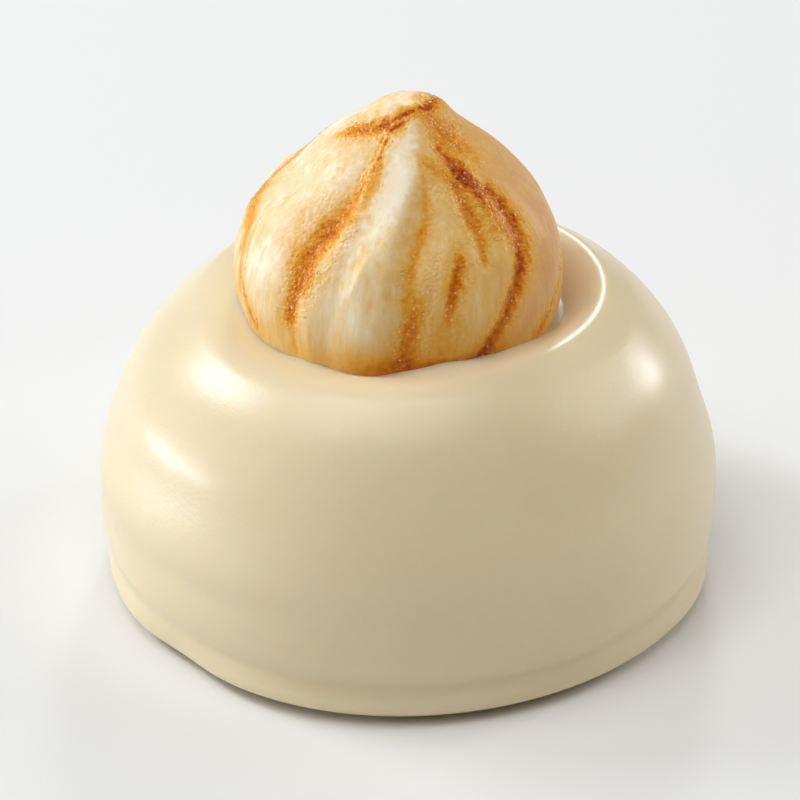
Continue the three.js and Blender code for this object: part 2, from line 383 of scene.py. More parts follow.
def open_top(radius, contact_swell):
    """Height of a top without a rim: one smooth curve from the dome's shoulder to the kernel."""
    shoulder = dome_radius(SHOULDER_HEIGHT)
    steepness = (2 * DOME_RISE / COATING_WIDTH) ** 2 * shoulder / (SHOULDER_HEIGHT - BELLY_HEIGHT)
    run = shoulder - CONTACT_RADIUS
    along = np.clip((shoulder - radius) / run, 0, 1)
    left = 1 - along
    return ((1 + 2 * along) * left ** 2 * SHOULDER_HEIGHT + along * left ** 2 * steepness * run
            + along ** 2 * (1 + 2 * left) * (CONTACT_HEIGHT + contact_swell)
            - along ** 2 * left * OPEN_SLOPE * run)


def top_height(radius, rimmed, angle):
    """Height above the shoulder, with the rim there or not."""
    open_share = 1 - blend(np.abs(turn_between(angle, OPEN_AT)), OPEN_FULL, OPEN_END)
    smooth = open_top(radius, swell_at(CONTACT_SWELLS, angle))
    return rimmed + (smooth - rimmed) * open_share


def side_point(radius, height, angle):
    """Uneven, poured place of points on the turned side. All in millimetres and degrees."""
    roll_height = height - wave(ROLL_WAVES, angle) * blend(height, WAVE_START, WAVE_FULL)
    swell = swell_at(FOOT_SWELLS, angle) * (1 - blend(height, LIP_HEIGHT, 2 * LIP_HEIGHT))
    for at_height, size, tall, strong_at, share in ROLLS:
        side = 1 + share * np.cos(np.radians(angle - strong_at))
        swell = swell + size * side * bell(roll_height - at_height, tall)
    for at_height, size, tall, at, wide in LEFT_ROLLS:
        swell = swell + size * bell(height - at_height, tall) * bell(turn_between(angle, at), wide)
    part = height / RIM_HEIGHT
    lean = MIDDLE_SHIFT * np.sin(np.pi * part) + TOP_SHIFT * part ** 2
    near_rim = blend(height, SHOULDER_HEIGHT - RIM_BAND, SHOULDER_HEIGHT)
    grown = radius + swell * blend(radius, CONTACT_RADIUS, RIM_RADIUS)
    lifted = np.where(height > SHOULDER_HEIGHT, top_height(radius, height, angle), height)
    a = np.radians(angle)
    return np.stack([grown * np.cos(a) + lean, grown * np.sin(a),
                     lifted + near_rim * swell_at(RIM_SWELLS, angle)], axis=-1)


def side_outline():
    """Radius and height down the outline, from the sole's edge to the rim's crest."""
    lip = skirt_radius(LIP_HEIGHT)
    turn = np.linspace(0, np.pi / 2, FOOT_STEPS)
    foot = np.stack([lip - FOOT_EDGE * (1 - np.sin(turn)), LIP_HEIGHT * (1 - np.cos(turn))], axis=1)
    low = np.linspace(LIP_HEIGHT, BELLY_HEIGHT, SKIRT_STEPS)[1:]
    high = np.linspace(BELLY_HEIGHT, SHOULDER_HEIGHT, DOME_STEPS)[1:]
    rim_share = np.linspace(0, 1, RIM_STEPS)[1:, None]
    start = np.array([dome_radius(SHOULDER_HEIGHT), SHOULDER_HEIGHT])
    # the handle grows towards the crest, which rounds it over
    handle = RIM_HANDLE + (CREST_HANDLE - RIM_HANDLE) * rim_share ** 2
    middle = np.concatenate([RIM_RADIUS + (RIM_HEIGHT - SHOULDER_HEIGHT) * handle,
                             np.full(handle.shape, RIM_HEIGHT)], axis=1)
    end = np.array([RIM_RADIUS, RIM_HEIGHT])
    rim = (1 - rim_share) ** 2 * start + 2 * rim_share * (1 - rim_share) * middle + rim_share ** 2 * end
    return np.concatenate([
        foot,
        np.stack([skirt_radius(low), low], axis=1),
        np.stack([dome_radius(high), high], axis=1),
        rim,
    ])


def crater_point(radius, angle):
    """Points of the top between the rim's crest and the kernel."""
    past_crest = np.clip((RIM_RADIUS - radius) / (RIM_RADIUS - CONTACT_RADIUS), 0, CRATER_END)
    inside = (1 - CREST_ROUND) * blend(past_crest, 0, 1) + CREST_ROUND * past_crest ** 2
    rimmed = RIM_HEIGHT + (CONTACT_HEIGHT - RIM_HEIGHT + swell_at(CONTACT_SWELLS, angle)) * inside
    height = top_height(radius, rimmed, angle) + swell_at(RIM_SWELLS, angle)
    height = height + swell_at(EDGE_SWELLS, angle) * (1 - blend(radius, EDGE_INNER, EDGE_OUTER))
    a = np.radians(angle)
    return np.stack([radius * np.cos(a) + TOP_SHIFT, radius * np.sin(a), height], axis=-1)


def contact_radius(angle):
    """Where the top of the coating meets the kernel's skin, found by halving."""
    low = np.full(angle.shape, CONTACT_RADIUS - CONTACT_SEARCH)
    high = np.full(angle.shape, RIM_RADIUS)
    for _ in range(HALVINGS):
        middle = (low + high) / 2
        away = crater_point(middle, angle) - KERNEL_CENTRE
        far = np.linalg.norm(away, axis=-1, keepdims=True)
        skin = np.linalg.norm(skin_towards(away / far) - KERNEL_CENTRE, axis=-1)
        outside = far[..., 0] > skin
        high = np.where(outside, middle, high)
        low = np.where(outside, low, middle)
    return middle


def crater_rows(angle, steps):
    """Rows of points from the rim's crest down to the kernel, with the edge where the coating wets it."""
    contact = contact_radius(angle)
    rows = []
    for share in np.linspace(0, 1, steps)[1:]:
        # rows crowd together near the kernel
        radius = RIM_RADIUS + (contact - RIM_RADIUS) * (1 - (1 - share) ** 2)
        point = crater_point(radius, angle)
        point[:, 2] += MENISCUS_HEIGHT * np.exp(-(radius - contact) / MENISCUS_REACH)
        rows.append(point)
    return rows


def pocket_rows(start, steps):
    """Rows down the pocket that holds the kernel, from the contact line to below its base."""
    first = start - KERNEL_CENTRE
    first = first / np.linalg.norm(first, axis=-1, keepdims=True)
    down = np.array([0.0, 0.0, -1.0])
    rows = []
    for share in np.linspace(0, 1, steps)[1:-1]:
        direction = first * (1 - share) + down * share
        direction = direction / np.linalg.norm(direction, axis=-1, keepdims=True)
        rows.append(skin_towards(direction) + direction * POCKET_INSET)
    return rows


def grid_mesh(name, first, rows, last):
    """A closed skin of rows of points round an axis, with a pole at each end. Sizes in millimetres."""
    columns = len(rows[0])
    points = np.concatenate([[first], *rows, [last]]) * MM
    faces = []
    for i in range(columns):
        j = (i + 1) % columns
        faces.append((0, 1 + j, 1 + i))
        for row in range(len(rows) - 1):
            low, high = 1 + row * columns, 1 + (row + 1) * columns
            faces.append((low + i, low + j, high + j, high + i))
        end = 1 + (len(rows) - 1) * columns
        faces.append((end + i, end + j, len(points) - 1))
    mesh = bpy.data.meshes.new(name)
    mesh.from_pydata(points.tolist(), [], faces)
    mesh.validate()
    mesh.shade_smooth()
    return mesh


def show(name, mesh):
    thing = bpy.data.objects.new(name, mesh)
    bpy.context.scene.collection.objects.link(thing)
    return thing


def make_coating():
    """The coated body: sole, lip, dome, rim, crater and the pocket round the kernel, as one closed skin."""
    angle = ring_angles(COATING_COLUMNS)
    outline = side_outline()
    sole = [(outline[0, 0] * share, 0.0) for share in SOLE_SHARES]
    rows = []
    for radius, height in [*sole, *outline]:
        rows.append(side_point(np.full(angle.shape, radius), np.full(angle.shape, height), angle))
    rows += crater_rows(angle, CRATER_STEPS)
    rows += pocket_rows(rows[-1], POCKET_STEPS)
    base = skin_towards(np.array([0.0, 0.0, -1.0])) - np.array([0, 0, POCKET_INSET])
    mesh = grid_mesh("coating", np.zeros(3), rows, base)
    return show("poured_coating", mesh)


# Roast marks on the kernel, along paths of (angle from the tip, direction). Half width in millimetres and amount
# of roast are given at the path's start, middle and end. A high edge value makes a mark's border crisp.
ROASTS = [
    # seam through the tip: golden on the left, dark in front of the tip, brown on the right
    {"path": [(13, -122), (14.5, -133), (16.5, -146), (19.5, -159), (27, -173)],
     "wide": (0.28, 0.44, 0.36), "amount": (0.72, 0.70, 0.26), "edge": 2.0},
    {"path": [(11.5, -126), (12.5, -138), (15, -152), (20, -166)],
     "wide": (0.07, 0.09, 0.08), "amount": (0.80, 0.60, 0.30), "edge": 2.0},
    {"path": [(12.5, -124), (11, -112), (9, -98), (7.8, -80), (7.3, -60)],
     "wide": (0.13, 0.17, 0.12), "amount": (0.74, 0.96, 0.66), "edge": 2.0},
    {"path": [(14.5, -114), (13, -106), (11.5, -98)],
     "wide": (0.12, 0.16, 0.08), "amount": (0.78, 0.98, 0.60), "edge": 2.0},
    {"path": [(7.3, -60), (6.8, -30), (7, 0), (9, 24), (13, 36)],
     "wide": (0.24, 0.36, 0.24), "amount": (0.80, 0.78, 0.42), "edge": 1.8},
    # two thin lines from the seam down the left of the middle
    {"path": [(14, -120), (25, -119), (36, -120.5), (47, -124)],
     "wide": (0.06, 0.09, 0.14), "amount": (0.62, 0.50, 0.38), "edge": 2.0},
    {"path": [(15, -113.5), (25, -114), (35, -117), (45, -120.5)],
     "wide": (0.07, 0.09, 0.16), "amount": (0.70, 0.54, 0.46), "edge": 2.0},
    # golden mottled zone that they run into, and its deeper lower end
    {"path": [(25, -112.5), (34, -111), (43, -112.5)],
     "wide": (0.20, 0.42, 0.28), "amount": (0.38, 0.42, 0.34), "edge": 1.8},
    {"path": [(36, -119), (45, -121), (54, -124.5)],
     "wide": (0.42, 0.76, 0.72), "amount": (0.42, 0.48, 0.56), "edge": 1.8},
    {"path": [(52, -126), (62, -127.5), (73, -129), (82, -130.5), (88, -131)],
     "wide": (0.70, 0.74, 0.46), "amount": (0.62, 0.68, 0.64), "edge": 2.2},
    {"path": [(86, -130.5), (94, -129), (101, -128)],
     "wide": (0.36, 0.32, 0.30), "amount": (0.34, 0.26, 0.22), "edge": 2.0},
    {"path": [(40, -146), (50, -143), (60, -139), (68, -134)],
     "wide": (0.50, 0.90, 0.60), "amount": (0.14, 0.22, 0.24), "edge": 1.6},
    # left edge
    {"path": [(34, 150), (46, 158), (56, 168), (64, 178), (72, -171), (82, -168), (92, -166)],
     "wide": (0.45, 0.75, 0.50), "amount": (0.42, 0.48, 0.36), "edge": 2.0},
    {"path": [(58, -168), (70, -163.5), (82, -161), (92, -158)],
     "wide": (0.10, 0.12, 0.14), "amount": (0.20, 0.40, 0.34), "edge": 2.0},
    {"path": [(84, -166), (92, -158), (99, -150)],
     "wide": (0.26, 0.30, 0.26), "amount": (0.34, 0.44, 0.50), "edge": 2.0},
    # golden groove right of the middle ridge, darker lower down, with a broad yellow flank
    {"path": [(26, -81), (36, -79), (44, -79.5), (52, -82)],
     "wide": (0.20, 0.34, 0.42), "amount": (0.30, 0.40, 0.38), "edge": 2.2},
    {"path": [(50, -83), (58, -86), (68, -87.5), (82, -88.5)],
     "wide": (0.30, 0.42, 0.44), "amount": (0.38, 0.42, 0.34), "edge": 2.2},
    {"path": [(42, -87), (56, -90), (70, -92), (88, -93)],
     "wide": (0.70, 0.95, 0.80), "amount": (0.10, 0.15, 0.14), "edge": 1.6},
    # low dark marks on the front
    {"path": [(59, -67.5), (66, -70), (73, -72), (80, -74.5)],
     "wide": (0.32, 0.42, 0.28), "amount": (0.74, 0.80, 0.50), "edge": 2.2},
    {"path": [(73, -84.5), (80, -85), (87, -86.5), (96, -88)],
     "wide": (0.40, 0.62, 0.54), "amount": (0.50, 0.62, 0.56), "edge": 2.0},
    # golden patch high on the front right, with a branch down
    {"path": [(23, -80), (26, -72), (29, -64), (33, -58.5)],
     "wide": (0.34, 0.56, 0.50), "amount": (0.36, 0.48, 0.50), "edge": 1.7},
    {"path": [(33, -58.5), (43, -57), (53, -55.5), (62, -57)],
     "wide": (0.42, 0.52, 0.26), "amount": (0.56, 0.66, 0.52), "edge": 2.0},
    # main dark streak: upper wedge, the fibrous zone beside it, and the long lower part
    {"path": [(19, -60), (24, -55), (29, -51), (36, -47.5), (40, -46)],
     "wide": (0.18, 0.68, 0.38), "amount": (0.72, 0.84, 0.66), "edge": 2.0},
    {"path": [(34, -46), (44, -44), (54, -42.5), (64, -41)],
     "wide": (0.50, 0.84, 0.58), "amount": (0.62, 0.62, 0.42), "edge": 1.8},
    {"path": [(38, -37), (44, -34.5), (50, -33.5), (60, -35.5), (68, -40)],
     "wide": (0.28, 0.52, 0.56), "amount": (0.78, 0.80, 0.68), "edge": 2.0},
    {"path": [(66, -38.5), (74, -44.5), (82, -50.5), (90, -56.5), (98, -60.5)],
     "wide": (0.56, 0.50, 0.46), "amount": (0.72, 0.80, 0.92), "edge": 2.2},
    # broad smooth golden face between the tip and the right cheek
    {"path": [(10, -56), (13, -48), (17, -40), (23, -32)],
     "wide": (0.55, 1.10, 1.00), "amount": (0.54, 0.62, 0.48), "edge": 1.8},
    # right edge
    {"path": [(12, 40), (20, 18), (40, 12), (54, 9), (66, 2)],
     "wide": (0.16, 0.12, 0.10), "amount": (0.40, 0.34, 0.34), "edge": 2.0},
    {"path": [(66, 3), (76, -9), (85, -22), (94, -32)],
     "wide": (0.14, 0.30, 0.40), "amount": (0.34, 0.42, 0.50), "edge": 2.0},
]

# Pale zones with the same raised grain, beside the roast marks; painted glints show on them too
GRAINY = [
    {"path": [(36, -115), (50, -116), (60, -117.5), (72, -120)],
     "wide": (0.25, 0.45, 0.30), "amount": (0.8, 1.0, 0.7)},
    {"path": [(40, -135), (52, -137), (64, -134)], "wide": (0.5, 0.8, 0.5), "amount": (0.5, 0.7, 0.5)},
    {"path": [(58, -77), (68, -80), (78, -82)], "wide": (0.35, 0.60, 0.40), "amount": (0.7, 1.0, 0.8)},
    {"path": [(27, -78), (32, -74), (38, -70)], "wide": (0.25, 0.40, 0.30), "amount": (0.6, 0.8, 0.5)},
    {"path": [(34, -50), (46, -49), (58, -47)], "wide": (0.35, 0.50, 0.40), "amount": (0.9, 1.0, 0.8)},
    {"path": [(30, -33), (44, -30), (58, -30), (72, -36)],
     "wide": (0.25, 0.35, 0.30), "amount": (0.4, 0.6, 0.4)},
]

# Roast marks of the side that the photo doesn't show: their directions, the limits of where one starts and how
# long it is, in degrees, how far it drifts and bends, its half widths and its amounts
FAR_ROASTS = range(32, 156, 13)
FAR_ROAST_START = (14, 45)
FAR_ROAST_LENGTH = (25, 60)
FAR_ROAST_DRIFT = 8
FAR_ROAST_BEND = 1.4
FAR_ROAST_ENDS = (0.15, 0.25)
FAR_ROAST_WIDE = (0.25, 0.55)
FAR_ROAST_AMOUNTS = [(0.2, 0.6), (0.35, 0.85), (0.1, 0.45)]
FAR_ROAST_EDGE = 2.2

# Each roast mark has a fainter golden halo: share of its amount, and reach by its half width and in
# millimetres. Where marks overlap, this share of the weaker one adds to the stronger one.
HALO_SHARE = 0.50
HALO_REACH = 1.7
HALO_MARGIN = 0.28
OVERLAP_SHARE = 0.25
# Borders fray by lumps of these sizes and shares, times the mark's half width and a margin
FRAY_LUMPS = [(0.32, 0.16), (0.14, 0.14)]
FRAY_MARGIN = 0.3
# Blisters come on between these amounts of roast, and reach this far past a mark's half width
BLISTER_AMOUNTS = (0.25, 0.6)
BLISTER_MARGIN = 0.15

# Painted shade, drawn in roast colours, where the kernel sinks into the coating: amount, the line's angle
# from the tip and how far it sways down on the right, how far up the shade reaches, where it is strongest,
# over what width, and its share elsewhere
SUNK_SHADE = 0.92
SUNK_TIP = 100
SUNK_SWAY = 3
SUNK_REACH = 8
SUNK_AT = -66
SUNK_WIDE = 36
SUNK_SHARE = 0.12
# Faint stains along the fibres: amount, and sizes and shares of their lumps
STAIN_AMOUNT = 0.22
STAIN_LUMPS = [(0.8, 1.0), (0.35, 0.6)]
# Browned flesh low on the front: amount, angles from the tip where it comes on, direction and width
LOW_ROAST = 0.42
LOW_ROAST_TIPS = (66, 84)
LOW_ROAST_AT = -74
LOW_ROAST_WIDE = 13

# Tone of the flesh, from 0 for cream to 1 for tan. Across is in degrees to the right of the middle ridge.
TONE_LEAST = 0.2
# the tan comes on in these steps across, and fades between these angles from its middle
TAN_STEPS = [(-3, 6), (25, 60)]
TAN_AT = -20
TAN_FADE = (60, 104)
# yellow near the ridge, and all round low down
YELLOW_TONE = 0.4
YELLOW_ACROSS = (-22, 0)
YELLOW_TIPS = (35, 75)
LOW_TONE = 0.45
LOW_TONE_TIPS = (78, 98)
# flank left of the ridge painted lighter, a painted highlight of its lit face, which ends between these angles
# from the tip
PAINTED_LIGHT_TONE = 0.2
PAINTED_LIGHT_ACROSS = -10
PAINTED_LIGHT_WIDE = 12
PAINTED_LIGHT_TIPS = (34, 60)


def far_side_roasts():
    """Roast marks for the side that the photo doesn't show, by a seeded rule."""
    pick = random.Random(SEED)
    first_wide, last_wide = FAR_ROAST_ENDS
    marks = []
    for direction in FAR_ROASTS:
        start = pick.uniform(*FAR_ROAST_START)
        end = start + pick.uniform(*FAR_ROAST_LENGTH)
        drift = pick.uniform(-FAR_ROAST_DRIFT, FAR_ROAST_DRIFT)
        middle = (start + end) / 2
        marks.append({
            "path": [(start, direction), (middle, direction + drift),
                     (end, direction + drift * FAR_ROAST_BEND)],
            "wide": (first_wide, pick.uniform(*FAR_ROAST_WIDE), last_wide),
            "amount": tuple(pick.uniform(*limits) for limits in FAR_ROAST_AMOUNTS),
            "edge": FAR_ROAST_EDGE,
        })
    return marks


def path_field(directions, mark):
    """Distance in millimetres from a roast's path, with its width and amount there."""
    radius = KERNEL_WIDTH / 2
    knots = tip_direction(np.array([p for p, _ in mark["path"]], float),
                          np.array([a for _, a in mark["path"]], float))
    lengths = np.linalg.norm(np.diff(knots, axis=0), axis=1)
    travelled = np.concatenate([[0], np.cumsum(lengths)]) / lengths.sum()
    best = np.full(len(directions), np.inf)
    where = np.zeros(len(directions))
    for i, (start, end) in enumerate(zip(knots[:-1], knots[1:])):
        run = end - start
        share = np.clip(((directions - start) @ run) / (run @ run), 0, 1)
        near = start + share[:, None] * run
        near /= np.linalg.norm(near, axis=1, keepdims=True)
        distance = np.linalg.norm(directions - near, axis=1) * radius
        closer = distance < best
        best = np.where(closer, distance, best)
        where = np.where(closer, travelled[i] + share * (travelled[i + 1] - travelled[i]), where)
    stops = (0, 0.5, 1)
    return best, np.interp(where, stops, mark["wide"]), np.interp(where, stops, mark["amount"])


def kernel_grid():
    """Angles from the tip and directions of the kernel's points, row by row."""
    from_tip = np.concatenate([np.linspace(*SHOWN_ROWS), np.linspace(*HIDDEN_ROWS)])
    tips, angles = np.meshgrid(from_tip, ring_angles(KERNEL_COLUMNS), indexing="ij")
    return tips.ravel(), angles.ravel()


def fibre_places(own, tips):
    """Lengthwise coordinates in millimetres: lumps in them are long from tip to base and narrow across."""
    places = own * KERNEL_WIDTH / 2
    places[:, 2] = np.radians(tips) * KERNEL_WIDTH / 2 * FIBRE_STRETCH
    return places


def lumpy(places, lumps):
    """Smooth noise of several sizes, each with its share."""
    return sum(speckle(places, size) * share for size, share in lumps)


def roast_and_blisters(own, lengthwise):
    """Amount of roasting that the marks give, and how thick the blisters stand on them."""
    wobble = lumpy(lengthwise, FRAY_LUMPS)
    roast_and_shade = np.zeros(len(own))
    blisters = np.zeros(len(own))
    for mark in ROASTS + far_side_roasts():
        distance, wide, amount = path_field(own, mark)
        frayed = np.maximum(distance + wobble * (FRAY_MARGIN + wide), 0)
        core = amount * np.exp(-(frayed / wide) ** mark["edge"])
        halo = HALO_SHARE * amount * bell(frayed, HALO_REACH * wide + HALO_MARGIN)
        roast_and_shade = np.maximum(roast_and_shade, np.maximum(core, halo)) + OVERLAP_SHARE * np.minimum(roast_and_shade, core)
        around = blend(amount, *BLISTER_AMOUNTS) * bell(frayed, wide + BLISTER_MARGIN)
        blisters = np.maximum(blisters, around)
    return roast_and_shade, blisters


def grain_of_skin(own, blisters):
    """How grainy the skin is: on the blistered marks, and in the unroasted zones beside them.
    Painted glints show where it is grainy.
    """
    grainy = blisters
    for zone in GRAINY:
        distance, wide, amount = path_field(own, zone)
        grainy = np.maximum(grainy, amount * bell(distance, wide))
    return grainy


def browned_and_shaded(roast_and_shade, lengthwise, tips, angles):
    """The marks' roasting, the browned skin between them, and painted shade at the coating's edge."""
    # painted shade: the skin darkens where the kernel sinks into the coating, most at the front and right
    sunk_tip = SUNK_TIP + SUNK_SWAY * np.cos(np.radians(angles))
    edge = bell(np.minimum(tips - sunk_tip, 0), SUNK_REACH)
    side = SUNK_SHARE + (1 - SUNK_SHARE) * bell(turn_between(angles, SUNK_AT), SUNK_WIDE)
    roast_and_shade = 1 - (1 - roast_and_shade) * (1 - SUNK_SHADE * edge * side)
    # faint golden stains run along the fibres everywhere
    roast_and_shade = np.maximum(roast_and_shade, STAIN_AMOUNT * blend(lumpy(lengthwise, STAIN_LUMPS), 0.0, 1.0))
    # low on the front the flesh between the marks is browned too
    low_front = blend(tips, *LOW_ROAST_TIPS) * bell(turn_between(angles, LOW_ROAST_AT), LOW_ROAST_WIDE)
    return np.maximum(roast_and_shade, LOW_ROAST * low_front)


def with_relief(reach, own, lengthwise, roast_and_shade, grainy):
    """Distance of the skin from the centre with its fine relief: soft lumps, furrows, fibres and strands."""
    soft = speckle(own * KERNEL_WIDTH / 2, SOFT_LUMP)
    fibres = speckle(lengthwise, FIBRE_LUMP)
    strands = speckle(lengthwise, STRAND_LUMP)
    return (reach + SOFT_HEIGHT * soft - FURROW_DEPTH * roast_and_shade
            + (FIBRE_HEIGHT + FIBRE_GRAIN * grainy) * fibres
            + (STRAND_HEIGHT + STRAND_GRAIN * grainy) * strands)


def flesh_tone(tips, angles):
    """Cream on the left, yellow in the middle and low down, and tan on the right, with a painted highlight
    that lightens the lit flank left of the middle ridge.
    """
    across = turn_between(angles, np.interp(tips, *zip(*MIDDLE_RIDGE)))
    tan = sum(blend(across, *step) for step in TAN_STEPS) / len(TAN_STEPS)
    tan = np.maximum(tan, YELLOW_TONE * blend(across, *YELLOW_ACROSS) * blend(tips, *YELLOW_TIPS))
    tan = tan * (1 - blend(np.abs(turn_between(angles, TAN_AT)), *TAN_FADE))
    tan = np.maximum(tan, LOW_TONE * blend(tips, *LOW_TONE_TIPS))
    # painted highlight: the lit flank left of the middle ridge is made lighter
    painted_light = bell(across - PAINTED_LIGHT_ACROSS, PAINTED_LIGHT_WIDE) * (1 - blend(tips, *PAINTED_LIGHT_TIPS))
    return TONE_LEAST + (1 - TONE_LEAST) * tan - PAINTED_LIGHT_TONE * painted_light


def kernel_end(from_tip):
    """The point where all columns meet, at the tip for 0 degrees and at the base for 180."""
    upright = np.array([0.0, 0.0, math.cos(math.radians(from_tip))])
    return upright * kernel_reach(from_tip, 0.0) @ KERNEL_TURN.T + KERNEL_CENTRE


def paint_kernel(mesh, order, lengthwise, painted):
    """Puts painted values and lengthwise coordinates on the mesh. Its two ends follow the rows next to them."""
    for name, values in painted.items():
        at_tip, at_base = values[:KERNEL_COLUMNS].mean(), values[-KERNEL_COLUMNS:].mean()
        attribute = mesh.attributes.new(name, "FLOAT", "POINT")
        attribute.data.foreach_set("value", np.concatenate([[at_tip], values[order], [at_base]]))
    places = np.concatenate([lengthwise[:1], lengthwise[order], lengthwise[-1:]]) * MM
    grain = mesh.attributes.new("grain", "FLOAT_VECTOR", "POINT")
    grain.data.foreach_set("vector", places.ravel())


def make_kernel():
    """The roasted kernel: ridges, seam, furrows under the roast marks and fine lengthwise fibres."""
    tips, angles = kernel_grid()
    own = tip_direction(tips, angles)
    lengthwise = fibre_places(own, tips)
    roast_and_shade, blisters = roast_and_blisters(own, lengthwise)
    grainy = grain_of_skin(own, blisters)
    roast_and_shade = browned_and_shaded(roast_and_shade, lengthwise, tips, angles)
    reach = with_relief(kernel_reach(tips, angles), own, lengthwise, roast_and_shade, grainy)
    points = (own * reach[:, None]) @ KERNEL_TURN.T + KERNEL_CENTRE
    # rows run down from the tip, so the points of each are turned round to make the faces point outwards
    order = np.arange(len(points)).reshape(-1, KERNEL_COLUMNS)[:, ::-1]
    mesh = grid_mesh("kernel", kernel_end(0.0), points[order], kernel_end(180.0))
    paint_kernel(mesh, order.ravel(), lengthwise, {
        "roast_and_shade": roast_and_shade, "blisters": blisters, "grainy": grainy, "tan": flesh_tone(tips, angles)})
    return show("roasted_kernel", mesh)


# Materials

# Nearly all values of a noise lie between these
NOISE_LOW = 0.3
NOISE_HIGH = 0.7
# Colours in sRGB, with their places on the ramps
COATING_COLOURS = [(NOISE_LOW, "e8d7b3"), (NOISE_HIGH, "ebdbb9")]
# the flesh's lightest stop is reached by lighter strands, and by the painted highlight on the lit flank
FLESH_COLOURS = [(0.0, "fff2dc"), (0.2, "f6dfb9"), (0.6, "ecc47e"), (1.0, "dba265")]
# the browns of this ramp also draw the painted shade where the kernel sinks into the coating
ROAST_AND_SHADE_COLOURS = [(0.0, "f0c878"), (0.30, "edb04a"), (0.50, "e6921a"), (0.66, "d67608"), (0.80, "bc5602"),
                 (1.0, "963602")]
# painted highlight: the colour of the glints painted on the tops of the blisters
PAINTED_GLINT_COLOUR = "ffe2c4"
FLOOR_COLOUR = "eaeaea"

# Patterns of the coating, in millimetres: pale clouds, patches of gloss, and the grain of sugar and milk. The
# real grain is finer, and is drawn this coarse so that it shows in the highlights at all.
CLOUD_SIZE = 7.0
GLOSS_SIZE = 3.0
SUGAR_SIZE = 0.16
SUGAR_DEPTH = 0.018

# Patterns of the kernel, in millimetres: fibre strands, mottled roast, patches of tone, painted glints and
# blisters
STRAND_SIZE = 0.28
STRAND_DEPTH = 0.02
MOTTLE_SIZE = 0.22
PATCH_SIZE = 1.6
PAINTED_GLINT_SIZE = 0.20
BLISTER_SIZE = 0.17
BLISTER_DEPTH = 0.05
# How much strands and patches shift the tone of the flesh
STRAND_SHIFT = 0.18
PATCH_SHIFT = 0.15
# The painted grain at which the skin is as blistered and as oily as it gets
GRAIN_FULL = 0.8


def linear(hex_colour):
    """An sRGB hex colour as linear RGBA."""
    def channel(start):
        value = int(hex_colour[start:start + 2], 16) / 255
        return value / 12.92 if value <= 0.04045 else ((value + 0.055) / 1.055) ** 2.4
    return (channel(0), channel(2), channel(4), 1.0)


def per_mm(size):
    """Scale of a pattern whose cells are that many millimetres, on coordinates in metres."""
    return 1 / (size * MM)


def new_material(name):
    material = bpy.data.materials.new(name)
    material.use_nodes = True
    material.node_tree.nodes.clear()
    return material


def add_node(tree, kind, settings=None, stops=None, **inputs):
    """Adds a node. An input is a value, or another node's output to link; stops are those of a colour ramp.

    Inputs go by their names, and by their numbers, as in i0, on nodes where several share a name.
    """
    node = tree.nodes.new(kind)
    for key, value in (settings or {}).items():
        setattr(node, key, value)
    # a ramp starts with two elements: the missing ones are added first, then all are placed in order
    for _ in (stops or [])[2:]:
        node.color_ramp.elements.new(0.5)
    for element, (place, colour) in zip(node.color_ramp.elements if stops else [], stops or []):
        element.position = place
        element.color = linear(colour)
    for key, value in inputs.items():
        by_number = key[0] == "i" and key[1:].isdigit()
        socket = node.inputs[int(key[1:]) if by_number else key.replace("_", " ")]
        if isinstance(value, bpy.types.NodeSocket):
            tree.links.new(value, socket)
        else:
            socket.default_value = value
    return node


def white_chocolate():
    """Poured and set white chocolate: milky, faintly see-through, with the soft gloss of cocoa butter."""
    material = new_material("poured_white_chocolate")
    tree = material.node_tree
    place = add_node(tree, "ShaderNodeTexCoord").outputs["Object"]
    cloud = add_node(tree, "ShaderNodeTexNoise", Vector=place, Scale=per_mm(CLOUD_SIZE),
                     Detail=2.0).outputs["Fac"]
    colour = add_node(tree, "ShaderNodeValToRGB", Fac=cloud, stops=COATING_COLOURS).outputs["Color"]
    sugar = add_node(tree, "ShaderNodeTexNoise", Vector=place, Scale=per_mm(SUGAR_SIZE),
                     Detail=2.0).outputs["Fac"]
    gloss = add_node(tree, "ShaderNodeTexNoise", Vector=place, Scale=per_mm(GLOSS_SIZE),
                     Detail=3.0).outputs["Fac"]
    rough = add_node(tree, "ShaderNodeMapRange", Value=gloss, From_Min=NOISE_LOW, From_Max=NOISE_HIGH,
                     To_Min=0.285, To_Max=0.33).outputs["Result"]
    bump = add_node(tree, "ShaderNodeBump", Strength=0.4, Distance=SUGAR_DEPTH * MM,
                    Height=sugar).outputs["Normal"]
    skin = add_node(tree, "ShaderNodeBsdfPrincipled", Base_Color=colour, Roughness=rough, Normal=bump,
                    IOR=1.50, Subsurface_Weight=0.5, Subsurface_Radius=(1.0, 0.62, 0.30),
                    Subsurface_Scale=1.6 * MM)
    add_node(tree, "ShaderNodeOutputMaterial", Surface=skin.outputs["BSDF"])
    return material


